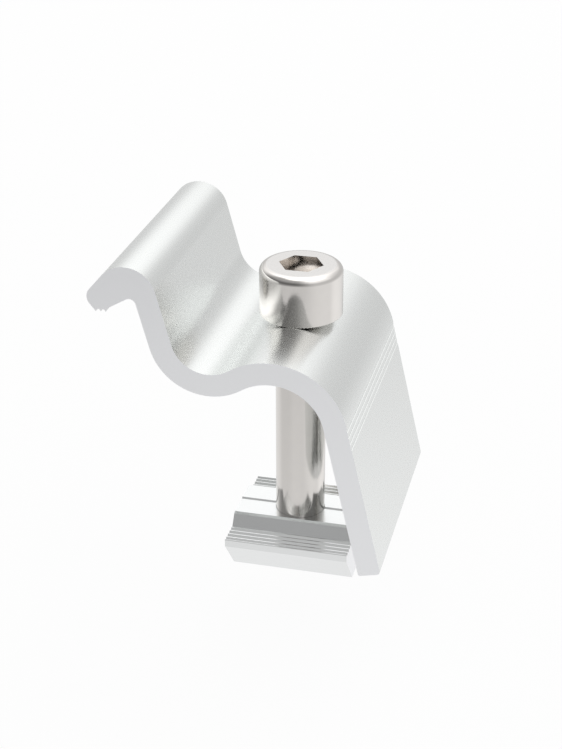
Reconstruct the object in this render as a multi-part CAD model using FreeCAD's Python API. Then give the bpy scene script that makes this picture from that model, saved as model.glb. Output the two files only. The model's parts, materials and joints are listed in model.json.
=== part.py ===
import FreeCAD, Part

import math
import os

# End clamp for a framed solar panel: a bent aluminium profile, a cap screw
# and a slot nut that grips under the lips of a mounting rail.
#
# The origin is on the screw's axis, in the plane of the rail's top face.
# +X runs along the rail from the panel towards the clamp's leg, +Y runs along
# the profile (across the rail) and +Z is up. Lengths are in millimetres and
# angles in degrees, measured from +X towards +Z unless a comment says otherwise.

# Clamp body, a profile of one wall thickness sawn to length
clamp_width = 38.5
wall = 3.5
clamping_height = 40.0
seat_drop = 5.65
bump_radius = 11.6
bump_turn = 33.7
valley_radius = 5.6
wall_lean = 15.0
leg_lean = 13.0
foot_outer_round = 0.6
foot_inner_round = 0.3

# Hook over the panel's frame
hook_rise = 7.3
hook_radius = 4.7
hook_slant = 49.0
hook_reach = 27.7
nose_radius = 1.8
nose_slant = 50.0
underside_slope = 30.0
hook_root_round = 1.0

# Teeth on the hook's tip, with scalloped gaps
tooth_count = 3
tooth_pitch = 0.75
tooth_land = 0.08
tooth_depth = 0.35
heel_rise = 0.6
heel_run = 0.32

# Fine saw-tooth grooves at the top of the leg's outer face
groove_count = 4
groove_start = 0.92
groove_pitch = 1.0
groove_depth = 0.1
ledge_angle = 60.0

# Cap screw with a hexagon socket
shank_diameter = 8.0
head_diameter = 13.0
head_height = 8.0
head_rim_round = 1.2
head_lower_round = 0.1
neck_fillet = 0.4
socket_across_flats = 6.1
socket_depth = 4.0
socket_dish = 1.0
thread_core_diameter = 6.47
tip_overrun = 1.0
tip_chamfer = 0.5
hole_clearance = 1.0

# Slot nut, a profile sawn to length along the rail
nut_length = 20.0
nut_half_width = 10.6
rail_lip = 2.3
neck_height = 1.75
neck_half_width = 4.4
neck_chamfer_width = 0.4
neck_chamfer_height = 0.26
neck_base_half_width = 6.2
ridge_count = 5
ridge_pitch = 1.0
ridge_land = 0.18
ridge_depth = 0.38
edge_land = 0.2
edge_chamfer = 0.1
shoulder_band = 1.25
nut_depth = 9.7
nut_bottom_half_width = 5.45
centre_groove_width = 0.65
centre_groove_depth = 0.38
thread_clearance = 0.09
countersink_diameter = 8.1

# Points nearer than this are one point
same_point = 1e-6

# Heights that follow from the sizes above
seat_z = clamping_height - seat_drop
head_top_z = seat_z + head_height
neck_top_z = neck_height - rail_lip
nut_bottom_z = -nut_depth
screw_tip_z = nut_bottom_z - tip_overrun


def direction(angle):
    """Unit vector in the XZ plane."""
    a = math.radians(angle)
    return FreeCAD.Vector(math.cos(a), 0, math.sin(a))


def polar(centre, radius, angle):
    return centre + direction(angle) * radius


def meet(point_a, angle_a, point_b, angle_b):
    """Point where two lines in the XZ plane cross."""
    along_a = direction(angle_a)
    across_b = direction(angle_b + 90)
    return point_a + along_a * ((point_b - point_a).dot(across_b) / along_a.dot(across_b))


class Outline:
    """A closed outline of straight runs and arcs, drawn point by point."""

    def __init__(self, start):
        self.start = start
        self.here = start
        self.edges = []

    def line(self, end):
        self.edges.append(Part.LineSegment(self.here, end).toShape())
        self.here = end

    def arc(self, middle, end):
        self.edges.append(Part.Arc(self.here, middle, end).toShape())
        self.here = end

    def join(self, end):
        """Straight run to a point, or nothing if the outline is there already."""
        if end.distanceToPoint(self.here) > same_point:
            self.line(end)

    def turn(self, centre, radius, start_angle, end_angle):
        """Arc about a centre, joined to what comes before it."""
        self.join(polar(centre, radius, start_angle))
        self.arc(polar(centre, radius, (start_angle + end_angle) / 2), polar(centre, radius, end_angle))

    def round_corner(self, corner, after, radius):
        """Straight run to a corner, which is rounded towards the point after it."""
        back = (self.here - corner).normalize()
        ahead = (after - corner).normalize()
        half = back.getAngle(ahead) / 2
        inward = (back + ahead).normalize()
        centre = corner + inward * (radius / math.sin(half))
        reach = radius / math.tan(half)
        self.line(corner + back * reach)
        self.arc(centre - inward * radius, corner + ahead * reach)

    def face(self):
        self.join(self.start)
        return Part.Face(Part.Wire(self.edges))


def clamp_profile():
    """Section of the clamp body: leg, bump under the screw head, valley, wall and hook."""
    bump_centre = FreeCAD.Vector(0, 0, seat_z - bump_radius)
    valley_centre = polar(bump_centre, bump_radius + valley_radius, 90 + bump_turn)

    # The wall's two faces lean towards the panel; the leg's lean away from it
    wall_up = 90 + wall_lean
    wall_outer = polar(valley_centre, valley_radius, 180 + wall_lean)
    wall_inner = polar(valley_centre, valley_radius + wall, 180 + wall_lean)
    leg_down = leg_lean - 90
    leg_outer = polar(bump_centre, bump_radius, leg_lean)
    leg_inner = polar(bump_centre, bump_radius - wall, leg_lean)

    # The leg is cut square to its own length, and its inner corner meets the rail
    foot_inner = meet(leg_inner, leg_down, FreeCAD.Vector(0, 0, 0), 0)
    foot_outer = foot_inner + direction(leg_lean) * wall

    # Hook: the crest touches the wall's outer face and the slanted back
    crest_z = clamping_height + hook_rise - hook_radius
    crest_line = polar(wall_outer, hook_radius, 180 + wall_lean)
    crest_centre = meet(crest_line, wall_up, FreeCAD.Vector(0, 0, crest_z), 0)
    slant_normal = 90 + hook_slant
    nose_line = polar(crest_centre, hook_radius - nose_radius, slant_normal)
    nose_limit = FreeCAD.Vector(nose_radius - hook_reach, 0, 0)
    nose_centre = meet(nose_line, 180 + hook_slant, nose_limit, 90)
    nose_end = 270 - nose_slant
    first_tooth = meet(polar(nose_centre, nose_radius, nose_end), -nose_slant,
                       FreeCAD.Vector(0, 0, clamping_height), 0)

    heel = first_tooth + FreeCAD.Vector((tooth_count - 1) * tooth_pitch + tooth_land, 0, 0)
    heel_top = heel + FreeCAD.Vector(heel_run, 0, heel_rise)
    hook_root = meet(heel_top, underside_slope, wall_inner, wall_up)

    outline = Outline(leg_inner)
    outline.round_corner(foot_inner, foot_outer, foot_inner_round)
    outline.round_corner(foot_outer, leg_outer, foot_outer_round)
    cut_leg_grooves(outline, leg_outer, leg_down)
    outline.turn(bump_centre, bump_radius, leg_lean, 90 + bump_turn)
    outline.turn(valley_centre, valley_radius, bump_turn - 90, wall_lean - 180)
    outline.turn(crest_centre, hook_radius, wall_lean, slant_normal)
    outline.turn(nose_centre, nose_radius, slant_normal, nose_end)
    outline.line(first_tooth)
    add_teeth(outline)
    outline.line(heel_top)
    outline.round_corner(hook_root, wall_inner, hook_root_round)
    outline.turn(valley_centre, valley_radius + wall, 180 + wall_lean, 270 + bump_turn)
    outline.turn(bump_centre, bump_radius - wall, 90 + bump_turn, leg_lean)
    return outline.face()


def cut_leg_grooves(outline, leg_top, leg_down):
    """Saw teeth up the leg's outer face, each with a long flank above a narrow ledge."""
    down = direction(leg_down)
    inward = direction(leg_down - 90)
    ledge_rise = groove_depth / math.tan(math.radians(ledge_angle))
    for number in range(groove_count - 1, -1, -1):
        ledge = groove_start + number * groove_pitch
        outline.line(leg_top + down * ledge)
        outline.line(leg_top + down * (ledge - ledge_rise) + inward * groove_depth)
    outline.line(leg_top)


def add_teeth(outline):
    """Teeth along the hook's tip: a narrow land, then an arc up into the gap and down again."""
    gap = tooth_pitch - tooth_land
    for number in range(tooth_count - 1):
        start = outline.here + FreeCAD.Vector(tooth_land, 0, 0)
        outline.line(start)
        outline.arc(start + FreeCAD.Vector(gap / 2, 0, tooth_depth), start + FreeCAD.Vector(gap, 0, 0))
    outline.line(outline.here + FreeCAD.Vector(tooth_land, 0, 0))


def make_clamp_body():
    profile = clamp_profile()
    profile.translate(FreeCAD.Vector(0, -clamp_width / 2, 0))
    body = profile.extrude(FreeCAD.Vector(0, clamp_width, 0))
    hole_radius = (shank_diameter + hole_clearance) / 2
    hole = Part.makeCylinder(hole_radius, 2 * bump_radius, FreeCAD.Vector(0, 0, seat_z - bump_radius))
    return body.cut(hole)


def make_socket_screw():
    """Cap screw turned about Z, with the threaded end at its core diameter."""
    head_radius = head_diameter / 2
    shank_radius = shank_diameter / 2
    core_radius = thread_core_diameter / 2
    run_out = shank_radius - core_radius

    outline = Outline(FreeCAD.Vector(0, 0, screw_tip_z))
    outline.line(FreeCAD.Vector(core_radius - tip_chamfer, 0, screw_tip_z))
    outline.line(FreeCAD.Vector(core_radius, 0, screw_tip_z + tip_chamfer))
    outline.line(FreeCAD.Vector(core_radius, 0, neck_top_z - run_out))
    outline.line(FreeCAD.Vector(shank_radius, 0, neck_top_z))
    fillet_centre = FreeCAD.Vector(shank_radius + neck_fillet, 0, seat_z - neck_fillet)
    outline.turn(fillet_centre, neck_fillet, 180, 90)
    lower_rim = FreeCAD.Vector(head_radius - head_lower_round, 0, seat_z + head_lower_round)
    outline.turn(lower_rim, head_lower_round, -90, 0)
    upper_rim = FreeCAD.Vector(head_radius - head_rim_round, 0, head_top_z - head_rim_round)
    outline.turn(upper_rim, head_rim_round, 0, 90)
    outline.line(FreeCAD.Vector(0, 0, head_top_z))
    turned = outline.face().revolve(FreeCAD.Vector(0, 0, 0), FreeCAD.Vector(0, 0, 1), 360)
    return turned.cut(hex_socket())


def hex_socket():
    """Hexagonal recess with a corner towards +X, over a dished bottom."""
    corner_radius = socket_across_flats / math.sqrt(3)
    floor_z = head_top_z - socket_depth
    corners = []
    for number in range(7):
        angle = math.radians(60 * number)
        corners.append(FreeCAD.Vector(corner_radius * math.cos(angle), corner_radius * math.sin(angle), floor_z))
    hexagon = Part.Face(Part.makePolygon(corners))
    recess = hexagon.extrude(FreeCAD.Vector(0, 0, socket_depth))

    # The dish is part of a sphere, and its rim touches the flats
    rim_radius = socket_across_flats / 2
    sphere_radius = (rim_radius ** 2 + socket_dish ** 2) / (2 * socket_dish)
    sphere_centre = FreeCAD.Vector(0, 0, floor_z - socket_dish + sphere_radius)
    rim_angle = math.degrees(math.asin(rim_radius / sphere_radius)) - 90
    section = Outline(FreeCAD.Vector(0, 0, floor_z))
    section.turn(sphere_centre, sphere_radius, rim_angle, -90)
    dish = section.face().revolve(FreeCAD.Vector(0, 0, 0), FreeCAD.Vector(0, 0, 1), 360)
    return recess.fuse(dish)


def half_nut_section():
    """Points of the nut's section on the +Y side, as (y, z), from the centre groove down."""
    ridge_top_z = -rail_lip
    valley_z = ridge_top_z - ridge_depth
    points = [(centre_groove_width / 2, neck_top_z)]
    points.append((neck_half_width, neck_top_z))
    points.append((neck_half_width + neck_chamfer_width, neck_top_z - neck_chamfer_height))
    points.append((neck_base_half_width, valley_z))

    # Full ridges, then the last one, which the nut's side cuts short
    for number in range(ridge_count - 1, 0, -1):
        ridge_y = nut_half_width - number * ridge_pitch
        points.append((ridge_y - ridge_land / 2, ridge_top_z))
        points.append((ridge_y + ridge_land / 2, ridge_top_z))
        points.append((ridge_y + ridge_pitch / 2, valley_z))
    points.append((nut_half_width - edge_land, ridge_top_z))
    points.append((nut_half_width - edge_chamfer, ridge_top_z))
    points.append((nut_half_width, ridge_top_z - edge_chamfer))
    points.append((nut_half_width, ridge_top_z - shoulder_band))
    points.append((nut_bottom_half_width, nut_bottom_z))
    return points


def make_slot_nut():
    right = half_nut_section()
    left = [(-y, z) for y, z in reversed(right)]
    groove_root = [(0, neck_top_z - centre_groove_depth)]
    section = groove_root + right + left + groove_root
    start_x = -nut_length / 2
    outline = Part.makePolygon([FreeCAD.Vector(start_x, y, z) for y, z in section])
    nut = Part.Face(outline).extrude(FreeCAD.Vector(nut_length, 0, 0))

    # The bore is at the thread's inner diameter, countersunk at both mouths
    bore_radius = thread_core_diameter / 2 + thread_clearance
    mouth_radius = countersink_diameter / 2
    mouth_depth = mouth_radius - bore_radius
    nut_height = neck_top_z - nut_bottom_z
    bore = Part.makeCylinder(bore_radius, nut_height, FreeCAD.Vector(0, 0, nut_bottom_z))
    lower = Part.makeCone(mouth_radius, bore_radius, mouth_depth, FreeCAD.Vector(0, 0, nut_bottom_z))
    upper = Part.makeCone(bore_radius, mouth_radius, mouth_depth,
                          FreeCAD.Vector(0, 0, neck_top_z - mouth_depth))
    return nut.cut(bore.fuse(lower).fuse(upper))


def main():
    os.makedirs("parts", exist_ok=True)
    pieces = {
        "clamp_body": make_clamp_body(),
        "socket_screw": make_socket_screw(),
        "slot_nut": make_slot_nut(),
    }
    for name, shape in pieces.items():
        shape.exportStep(os.path.join("parts", name + ".step"))


main()
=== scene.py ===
import json
import math

import bpy
from mathutils import Matrix, Vector


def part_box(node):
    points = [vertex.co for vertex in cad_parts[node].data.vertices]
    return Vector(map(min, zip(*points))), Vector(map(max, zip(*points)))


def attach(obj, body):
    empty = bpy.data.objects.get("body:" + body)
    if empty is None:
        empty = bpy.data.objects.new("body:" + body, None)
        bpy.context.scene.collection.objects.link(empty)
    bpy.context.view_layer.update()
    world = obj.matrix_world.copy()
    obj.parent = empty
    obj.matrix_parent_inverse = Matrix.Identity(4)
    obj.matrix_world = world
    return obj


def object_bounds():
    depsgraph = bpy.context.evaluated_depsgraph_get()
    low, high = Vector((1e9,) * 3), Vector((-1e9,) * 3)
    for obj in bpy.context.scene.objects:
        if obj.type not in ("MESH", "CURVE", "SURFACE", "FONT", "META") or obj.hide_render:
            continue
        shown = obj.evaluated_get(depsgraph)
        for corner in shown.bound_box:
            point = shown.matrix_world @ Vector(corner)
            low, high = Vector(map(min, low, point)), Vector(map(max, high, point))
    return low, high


# Lengths are in metres and angles in degrees. Azimuths run from +X towards +Y.

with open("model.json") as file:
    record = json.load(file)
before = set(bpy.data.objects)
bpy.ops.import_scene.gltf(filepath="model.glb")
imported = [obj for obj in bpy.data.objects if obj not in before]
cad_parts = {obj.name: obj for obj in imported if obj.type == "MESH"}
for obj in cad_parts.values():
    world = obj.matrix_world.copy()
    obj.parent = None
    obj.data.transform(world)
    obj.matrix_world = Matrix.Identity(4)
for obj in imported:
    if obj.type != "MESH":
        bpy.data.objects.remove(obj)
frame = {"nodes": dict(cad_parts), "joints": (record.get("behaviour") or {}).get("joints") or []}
cad_low, cad_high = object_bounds()

# Camera, at the photograph's place and angle
CAMERA_PLACE = (0.0503, -0.2157, 0.1326)
CAMERA_AZIMUTH = 13.94
CAMERA_TILT = 63.76
CAMERA_ROLL = -0.15
CAMERA_LENS_MM = 75.0
CAMERA_CLIP_START = 0.01

# Floor, just under the lowest place that the nut reaches
FLOOR_RADIUS = 4.0
FLOOR_CORNERS = 96
FLOOR_GREY = 0.92
FLOOR_ROUGHNESS = 0.9
FLOOR_GLOW = 0.93

# Light on the floor
FILL_LEVEL = 0.85
LAMP_WATTS = 1.1
LAMP_SIZE = 0.6
LAMP_DISTANCE = 1.0
LAMP_AZIMUTH = 85.0
LAMP_ELEVATION = 42.0

# Light tent that only the metal sees
TENT_RADIUS = 3.5
TENT_SEGMENTS = 64
TENT_RINGS = 32

# The tent's levels by height above the horizon, all round and on its darker front. They and the
# sides below began as rounded readings from tables of the photo's brightness by the direction
# that the metal mirrors, which scratch scripts printed, and were changed by hand since.
ROUND_LEVELS = (
    (-90, 0.84), (-64, 0.81), (-50, 0.76), (-38, 0.78), (-26, 0.80), (-20, 0.74),
    (-14, 0.67), (4, 0.69), (12, 0.71), (18, 0.79), (24, 1.03), (30, 1.15),
    (36, 1.22), (45, 1.45), (56, 1.85), (90, 2.15),
)
FRONT_LEVELS = (
    (-90, 0.84), (-64, 0.81), (-50, 0.78), (-38, 0.88), (-32, 0.88), (-26, 0.79),
    (-20, 0.75), (-8, 0.40), (2, 0.20), (18, 0.16), (28, 0.27), (45, 0.48),
    (60, 0.50), (66, 0.84), (72, 1.60), (90, 2.15),
)
FRONT_AZIMUTH = -133.0
FRONT_FULL_TO = 35.0
FRONT_ENDS_AT = 98.0

# Sides of the tent that differ: azimuth, half width, and what is added low down and high up
TENT_SIDES = (
    (2.0, 75.0, 0.17, 0.00),
    (43.0, 37.0, 0.17, -0.26),
    (138.0, 50.0, 0.12, 0.06),
    (-150.0, 42.0, -0.05, 0.00),
)

# Where the low and the high part of a side start and are full, as sines of the height
LOW_PART = (0.0, -0.35)
HIGH_PART = (0.2, 0.5)

# Thread on the screw's end, an M8 coarse one
THREAD_PITCH = 0.00125
THREAD_CORE_RADIUS = 0.003235
THREAD_CREST_RADIUS = 0.004
THREAD_ROOT_WIDTH = THREAD_PITCH * 7 / 8
THREAD_CREST_WIDTH = THREAD_PITCH / 8
THREAD_TOP = -0.0016
THREAD_ROOT_SINK = 0.00003
THREAD_SEGMENTS = 64
THREAD_FADE_TURNS = 0.3

# Aluminium: colour and roughness of the extruded skin and of the sawn ends
CLAMP_SKIN = (0.83, 0.845, 0.835)
CLAMP_CUT = (0.915, 0.92, 0.935)
CLAMP_SKIN_ROUGHNESS = 0.27
NUT_SKIN = (0.82, 0.83, 0.83)
NUT_CUT = (0.94, 0.945, 0.96)
NUT_SKIN_ROUGHNESS = 0.24
CUT_ROUGHNESS = 0.36

# Its surface: fine grain, and drawing lines along the profile
GRAIN_SCALE = 3500.0
GRAIN_DETAIL = 3.0
GRAIN_ROUGHNESS = 0.02
LINE_ACROSS = 4000.0
LINE_ALONG = 60.0
LINE_SHARE = 0.5
GRAIN_DEPTH = 0.0000025

# Steel: clouded colour, turning marks, and a paler and duller flat top
STEEL_DARK = (0.68, 0.655, 0.63)
STEEL_PALE = (0.72, 0.695, 0.67)
STEEL_CLOUD_SCALE = 400.0
STEEL_ROUGHNESS = (0.09, 0.15)
TURNING_STRETCH = (200.0, 200.0, 5000.0)
TURNING_DEPTH = 0.0000008
HEAD_TOP_COLOUR = (0.755, 0.74, 0.725)
HEAD_TOP_ROUGHER = 0.10

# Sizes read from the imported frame
CLAMP_HALF_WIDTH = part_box("clamp_body")[1].y
NUT_HALF_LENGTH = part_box("slot_nut")[1].x
SCREW_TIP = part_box("socket_screw")[0].z
HEAD_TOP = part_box("socket_screw")[1].z
FLAT_FACE_DEPTH = 0.00001


def new_material(name):
    """A node material with one Principled shader. Returns the material, its tree and the shader."""
    material = bpy.data.materials.new(name)
    material.use_nodes = True
    tree = material.node_tree
    return material, tree, tree.nodes["Principled BSDF"]


def add_node(tree, kind, **values):
    """Adds a shader node; values go to its inputs by name, with _ for a space."""
    made = tree.nodes.new(kind)
    for key, value in values.items():
        made.inputs[key.replace("_", " ")].default_value = value
    return made


def math_node(tree, operation, first, second=None):
    """A Math node whose inputs are sockets or numbers. Returns its output."""
    made = tree.nodes.new("ShaderNodeMath")
    made.operation = operation
    for socket, value in zip(made.inputs, (first, second)):
        if isinstance(value, bpy.types.NodeSocket):
            tree.links.new(value, socket)
        elif value is not None:
            socket.default_value = value
    return made.outputs[0]


def vector_node(tree, operation, first, second=None):
    """A Vector Math node on a socket and, if given, a constant vector. Returns the node."""
    made = tree.nodes.new("ShaderNodeVectorMath")
    made.operation = operation
    tree.links.new(first, made.inputs[0])
    if second is not None:
        made.inputs[1].default_value = second
    return made


def parts_of(tree, vector):
    """The X, Y and Z of a vector."""
    split = tree.nodes.new("ShaderNodeSeparateXYZ")
    tree.links.new(vector, split.inputs[0])
    return split.outputs


def smooth_range(tree, value, start, end):
    """Rises smoothly from 0 to 1 as the value goes from start to end."""
    made = add_node(tree, "ShaderNodeMapRange", From_Min=start, From_Max=end)
    made.interpolation_type = "SMOOTHSTEP"
    tree.links.new(value, made.inputs["Value"])
    return made.outputs["Result"]


def blend_values(tree, factor, first, second):
    """First where the factor is 0 and second where it is 1."""
    step = math_node(tree, "SUBTRACT", second, first)
    return math_node(tree, "ADD", first, math_node(tree, "MULTIPLY", factor, step))


def mix_shaders(tree, factor, first, second, surface):
    """Puts the first shader on the surface where the factor is 0 and the second where it is 1."""
    mix = tree.nodes.new("ShaderNodeMixShader")
    for socket, source in zip(mix.inputs, (factor, first.outputs[0], second.outputs[0])):
        tree.links.new(source, socket)
    tree.links.new(mix.outputs[0], surface)


def seen_directly(tree):
    """1 for the rays that show the background: from the camera, in metal and through glass."""
    path = tree.nodes.new("ShaderNodeLightPath")
    both = math_node(tree, "MAXIMUM", path.outputs["Is Camera Ray"], path.outputs["Is Glossy Ray"])
    return math_node(tree, "MAXIMUM", both, path.outputs["Is Transmission Ray"])


def cosine(degrees):
    return math.cos(math.radians(degrees))


def flat_direction(azimuth):
    return cosine(azimuth), math.sin(math.radians(azimuth)), 0


def make_camera():
    data = bpy.data.cameras.new("camera")
    data.lens = CAMERA_LENS_MM
    data.clip_start = CAMERA_CLIP_START
    camera = bpy.data.objects.new("camera", data)
    turn = Matrix.Rotation(math.radians(CAMERA_AZIMUTH), 4, "Z")
    turn = turn @ Matrix.Rotation(math.radians(CAMERA_TILT), 4, "X")
    turn = turn @ Matrix.Rotation(math.radians(CAMERA_ROLL), 4, "Z")
    camera.matrix_world = Matrix.Translation(Vector(CAMERA_PLACE)) @ turn
    bpy.context.scene.collection.objects.link(camera)
    bpy.context.scene.camera = camera


def make_world():
    """White background, with a slightly lower level for the light that falls on the floor."""
    world = bpy.data.worlds.new("studio")
    world.use_nodes = True
    tree = world.node_tree
    fill = tree.nodes["Background"]
    fill.inputs["Color"].default_value = (1, 1, 1, 1)
    fill.inputs["Strength"].default_value = FILL_LEVEL
    white = add_node(tree, "ShaderNodeBackground", Color=(1, 1, 1, 1), Strength=1.0)
    surface = tree.nodes["World Output"].inputs["Surface"]
    mix_shaders(tree, seen_directly(tree), fill, white, surface)
    world.cycles.sampling_method = "NONE"
    bpy.context.scene.world = world


def make_lamp():
    """Large soft lamp above and behind the clamp."""
    data = bpy.data.lights.new("soft_lamp", "AREA")
    data.shape = "DISK"
    data.size = LAMP_SIZE
    data.energy = LAMP_WATTS
    lamp = bpy.data.objects.new("soft_lamp", data)
    towards = Vector(flat_direction(LAMP_AZIMUTH)) * cosine(LAMP_ELEVATION)
    towards.z = math.sin(math.radians(LAMP_ELEVATION))
    lamp.location = towards * LAMP_DISTANCE
    lamp.rotation_euler = towards.to_track_quat("Z", "Y").to_euler()
    lamp.visible_glossy = False
    bpy.context.scene.collection.objects.link(lamp)


def floor_height():
    """Lowest point of the object with the nut at the bottom of its travel."""
    travel = min(joint["range_m"][0] for joint in frame["joints"] if joint["type"] == "slide")
    return cad_low.z + travel


def make_floor():
    """Pale floor that keeps the object's shadow. The metal sees the tent in its place."""
    bpy.ops.mesh.primitive_circle_add(vertices=FLOOR_CORNERS, radius=FLOOR_RADIUS,
                                      fill_type="NGON", location=(0, 0, floor_height()))
    floor = bpy.context.object
    floor.name = "floor"
    material, tree, shader = new_material("pale_floor")
    shader.inputs["Base Color"].default_value = (FLOOR_GREY, FLOOR_GREY, FLOOR_GREY, 1)
    shader.inputs["Roughness"].default_value = FLOOR_ROUGHNESS
    shader.inputs["Specular IOR Level"].default_value = 0.0
    glow = add_node(tree, "ShaderNodeEmission", Color=(1, 1, 1, 1), Strength=1.0)
    share = math_node(tree, "MULTIPLY", seen_directly(tree), FLOOR_GLOW)
    mix_shaders(tree, share, shader, glow, tree.nodes["Material Output"].inputs["Surface"])
    floor.data.materials.append(material)
    floor.visible_glossy = False


def level_ramp(tree, factor, levels):
    """Grey levels by height, from straight down to straight up."""
    ramp = tree.nodes.new("ShaderNodeValToRGB")
    tree.links.new(factor, ramp.inputs[0])
    stops = ramp.color_ramp.elements
    while len(stops) < len(levels):
        stops.new(0.5)
    for stop, (degrees, level) in zip(stops, levels):
        stop.position = (degrees + 90) / 180
        stop.color = (level, level, level, 1)
    return ramp.outputs["Color"]


def tent_level(tree):
    """Brightness of the tent by place on it, in the direction from its centre."""
    place = tree.nodes.new("ShaderNodeNewGeometry").outputs["Position"]
    towards = vector_node(tree, "NORMALIZE", place).outputs["Vector"]
    sine_of_height = parts_of(tree, towards)["Z"]
    height = math_node(tree, "ARCSINE", sine_of_height)
    factor = math_node(tree, "ADD", math_node(tree, "DIVIDE", height, math.pi), 0.5)
    flat_part = vector_node(tree, "MULTIPLY", towards, (1, 1, 0)).outputs["Vector"]
    heading = vector_node(tree, "NORMALIZE", flat_part).outputs["Vector"]

    def near(azimuth, start, full):
        """0 from start degrees away from the azimuth, rising to 1 at full degrees from it."""
        facing = vector_node(tree, "DOT_PRODUCT", heading, flat_direction(azimuth))
        return smooth_range(tree, facing.outputs["Value"], cosine(start), cosine(full))

    is_front = near(FRONT_AZIMUTH, FRONT_ENDS_AT, FRONT_FULL_TO)
    level = blend_values(tree, is_front, level_ramp(tree, factor, ROUND_LEVELS),
                         level_ramp(tree, factor, FRONT_LEVELS))
    is_low = smooth_range(tree, sine_of_height, *LOW_PART)
    is_high = smooth_range(tree, sine_of_height, *HIGH_PART)
    for azimuth, half_width, low, high in TENT_SIDES:
        added = math_node(tree, "ADD", math_node(tree, "MULTIPLY", is_low, low),
                          math_node(tree, "MULTIPLY", is_high, high))
        added = math_node(tree, "MULTIPLY", near(azimuth, half_width, 0.0), added)
        level = math_node(tree, "ADD", level, added)
    return level


def make_tent():
    bpy.ops.mesh.primitive_uv_sphere_add(segments=TENT_SEGMENTS, ring_count=TENT_RINGS,
                                         radius=TENT_RADIUS)
    tent = bpy.context.object
    tent.name = "tent"
    material = bpy.data.materials.new("tent_cloth")
    material.use_nodes = True
    tree = material.node_tree
    tree.nodes.remove(tree.nodes["Principled BSDF"])
    cloth = add_node(tree, "ShaderNodeEmission", Color=(1, 1, 1, 1))
    tree.links.new(tent_level(tree), cloth.inputs["Strength"])
    tree.links.new(cloth.outputs[0], tree.nodes["Material Output"].inputs["Surface"])
    material.cycles.emission_sampling = "NONE"
    tent.data.materials.append(material)
    tent.visible_camera = False
    tent.visible_diffuse = False
    tent.visible_transmission = False
    tent.visible_shadow = False


def make_thread(material):
    """Right-hand thread as one helical ridge round the screw's core, faded out at both ends."""
    start_z = SCREW_TIP + THREAD_PITCH / 2
    turns = (THREAD_TOP - start_z) / THREAD_PITCH
    steps = round(turns * THREAD_SEGMENTS)
    root = THREAD_CORE_RADIUS - THREAD_ROOT_SINK
    root_half = THREAD_ROOT_WIDTH / 2
    crest_half = THREAD_CREST_WIDTH / 2
    vertices = []
    for step in range(steps + 1):
        turn = step * turns / steps
        fade = min(1.0, turn / THREAD_FADE_TURNS, (turns - turn) / THREAD_FADE_TURNS)
        crest = THREAD_CORE_RADIUS + (THREAD_CREST_RADIUS - THREAD_CORE_RADIUS) * fade
        z = start_z + turn * THREAD_PITCH
        angle = 2 * math.pi * turn
        section = ((root, -root_half), (crest, -crest_half), (crest, crest_half), (root, root_half))
        for radius, rise in section:
            vertices.append((radius * math.cos(angle), radius * math.sin(angle), z + rise))
    faces = [(0, 1, 2, 3)]
    for step in range(steps):
        here = 4 * step
        for corner in range(4):
            after = (corner + 1) % 4
            faces.append((here + corner, here + 4 + corner, here + 4 + after, here + after))
    last = 4 * steps
    faces.append((last + 3, last + 2, last + 1, last))
    mesh = bpy.data.meshes.new("screw_thread")
    mesh.from_pydata(vertices, [], faces)
    mesh.validate()
    mesh.update()
    thread = bpy.data.objects.new("screw_thread", mesh)
    thread.data.materials.append(material)
    bpy.context.scene.collection.objects.link(thread)
    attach(thread, "screw")


def surface_place(tree, stretch=(1, 1, 1)):
    """The point on the object in its own frame, squeezed or stretched along the axes."""
    mapping = tree.nodes.new("ShaderNodeMapping")
    mapping.inputs["Scale"].default_value = stretch
    tree.links.new(tree.nodes.new("ShaderNodeTexCoord").outputs["Object"], mapping.inputs[0])
    return mapping.outputs[0]


def noise(tree, place, scale=1.0, detail=2.0):
    made = add_node(tree, "ShaderNodeTexNoise", Scale=scale, Detail=detail)
    tree.links.new(place, made.inputs["Vector"])
    return made.outputs["Fac"]


def spread(tree, value, low, high):
    """Maps a 0..1 value to a range."""
    made = add_node(tree, "ShaderNodeMapRange", To_Min=low, To_Max=high)
    tree.links.new(value, made.inputs["Value"])
    return made.outputs["Result"]


def mix_colours(tree, factor, first, second):
    """First where the factor is 0 and second where it is 1, each a socket or a colour."""
    made = tree.nodes.new("ShaderNodeMix")
    made.data_type = "RGBA"
    tree.links.new(factor, made.inputs["Factor"])
    for name, value in (("A", first), ("B", second)):
        socket = [s for s in made.inputs if s.name == name and s.type == "RGBA"][0]
        if isinstance(value, bpy.types.NodeSocket):
            tree.links.new(value, socket)
        else:
            socket.default_value = (*value, 1)
    return [s for s in made.outputs if s.type == "RGBA"][0]


def bump(tree, shader, height, distance):
    made = add_node(tree, "ShaderNodeBump", Distance=distance)
    tree.links.new(height, made.inputs["Height"])
    tree.links.new(made.outputs[0], shader.inputs["Normal"])


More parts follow.
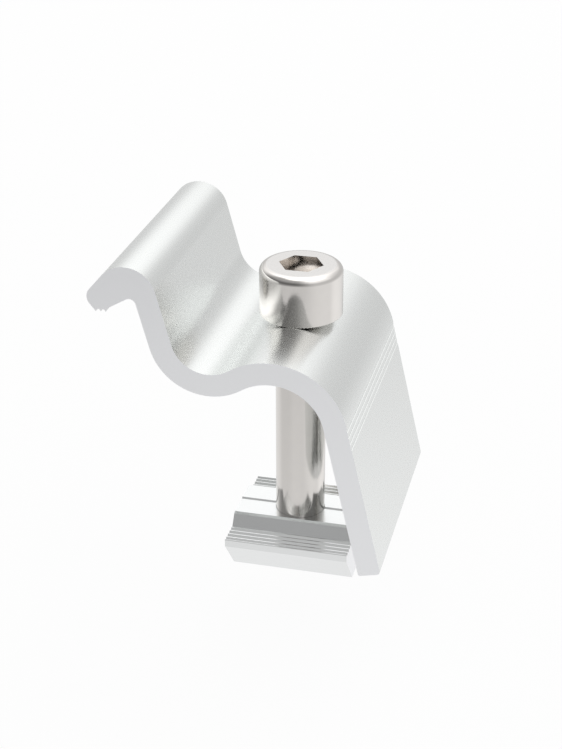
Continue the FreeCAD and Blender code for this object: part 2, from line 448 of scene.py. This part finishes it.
def satin_aluminium(name, axis, half_length, skin, skin_roughness, cut):
    """Skin of a profile along the axis, with fine grain and drawing lines, and flat sawn ends."""
    material, tree, shader = new_material(name)
    shader.inputs["Metallic"].default_value = 1.0
    distance = math_node(tree, "ABSOLUTE", parts_of(tree, surface_place(tree))[axis])
    is_cut = math_node(tree, "GREATER_THAN", distance, half_length - FLAT_FACE_DEPTH)
    tree.links.new(mix_colours(tree, is_cut, skin, cut), shader.inputs["Base Color"])

    grain = noise(tree, surface_place(tree), GRAIN_SCALE, GRAIN_DETAIL)
    stretch = [LINE_ALONG if letter == axis else LINE_ACROSS for letter in "XYZ"]
    lines = noise(tree, surface_place(tree, stretch))
    height = math_node(tree, "ADD", grain, math_node(tree, "MULTIPLY", lines, LINE_SHARE))
    bump(tree, shader, height, GRAIN_DEPTH)
    rough = spread(tree, grain, skin_roughness - GRAIN_ROUGHNESS, skin_roughness + GRAIN_ROUGHNESS)
    rougher = math_node(tree, "MULTIPLY", is_cut, CUT_ROUGHNESS - skin_roughness)
    tree.links.new(math_node(tree, "ADD", rough, rougher), shader.inputs["Roughness"])
    return material


def polished_steel():
    """Polished all round, and paler and duller on the flat top of the head."""
    material, tree, shader = new_material("polished_steel")
    shader.inputs["Metallic"].default_value = 1.0
    cloud = noise(tree, surface_place(tree), STEEL_CLOUD_SCALE)
    steel = mix_colours(tree, cloud, STEEL_DARK, STEEL_PALE)
    height = parts_of(tree, surface_place(tree))["Z"]
    is_top = math_node(tree, "GREATER_THAN", height, HEAD_TOP - FLAT_FACE_DEPTH)
    tree.links.new(mix_colours(tree, is_top, steel, HEAD_TOP_COLOUR), shader.inputs["Base Color"])

    turning = noise(tree, surface_place(tree, TURNING_STRETCH))
    bump(tree, shader, turning, TURNING_DEPTH)
    rougher = math_node(tree, "MULTIPLY", is_top, HEAD_TOP_ROUGHER)
    rough = math_node(tree, "ADD", spread(tree, turning, *STEEL_ROUGHNESS), rougher)
    tree.links.new(rough, shader.inputs["Roughness"])
    return material


def dress(node, material):
    """Gives a CAD node its material."""
    for material_slot in frame["nodes"][node].material_slots:
        material_slot.material = material


bpy.context.scene.view_settings.view_transform = "Standard"
make_camera()
make_world()
make_lamp()
make_floor()
make_tent()
dress("clamp_body", satin_aluminium("clamp_aluminium", "Y", CLAMP_HALF_WIDTH,
                                    CLAMP_SKIN, CLAMP_SKIN_ROUGHNESS, CLAMP_CUT))
dress("slot_nut", satin_aluminium("nut_aluminium", "X", NUT_HALF_LENGTH,
                                  NUT_SKIN, NUT_SKIN_ROUGHNESS, NUT_CUT))
steel = polished_steel()
dress("socket_screw", steel)
make_thread(steel)
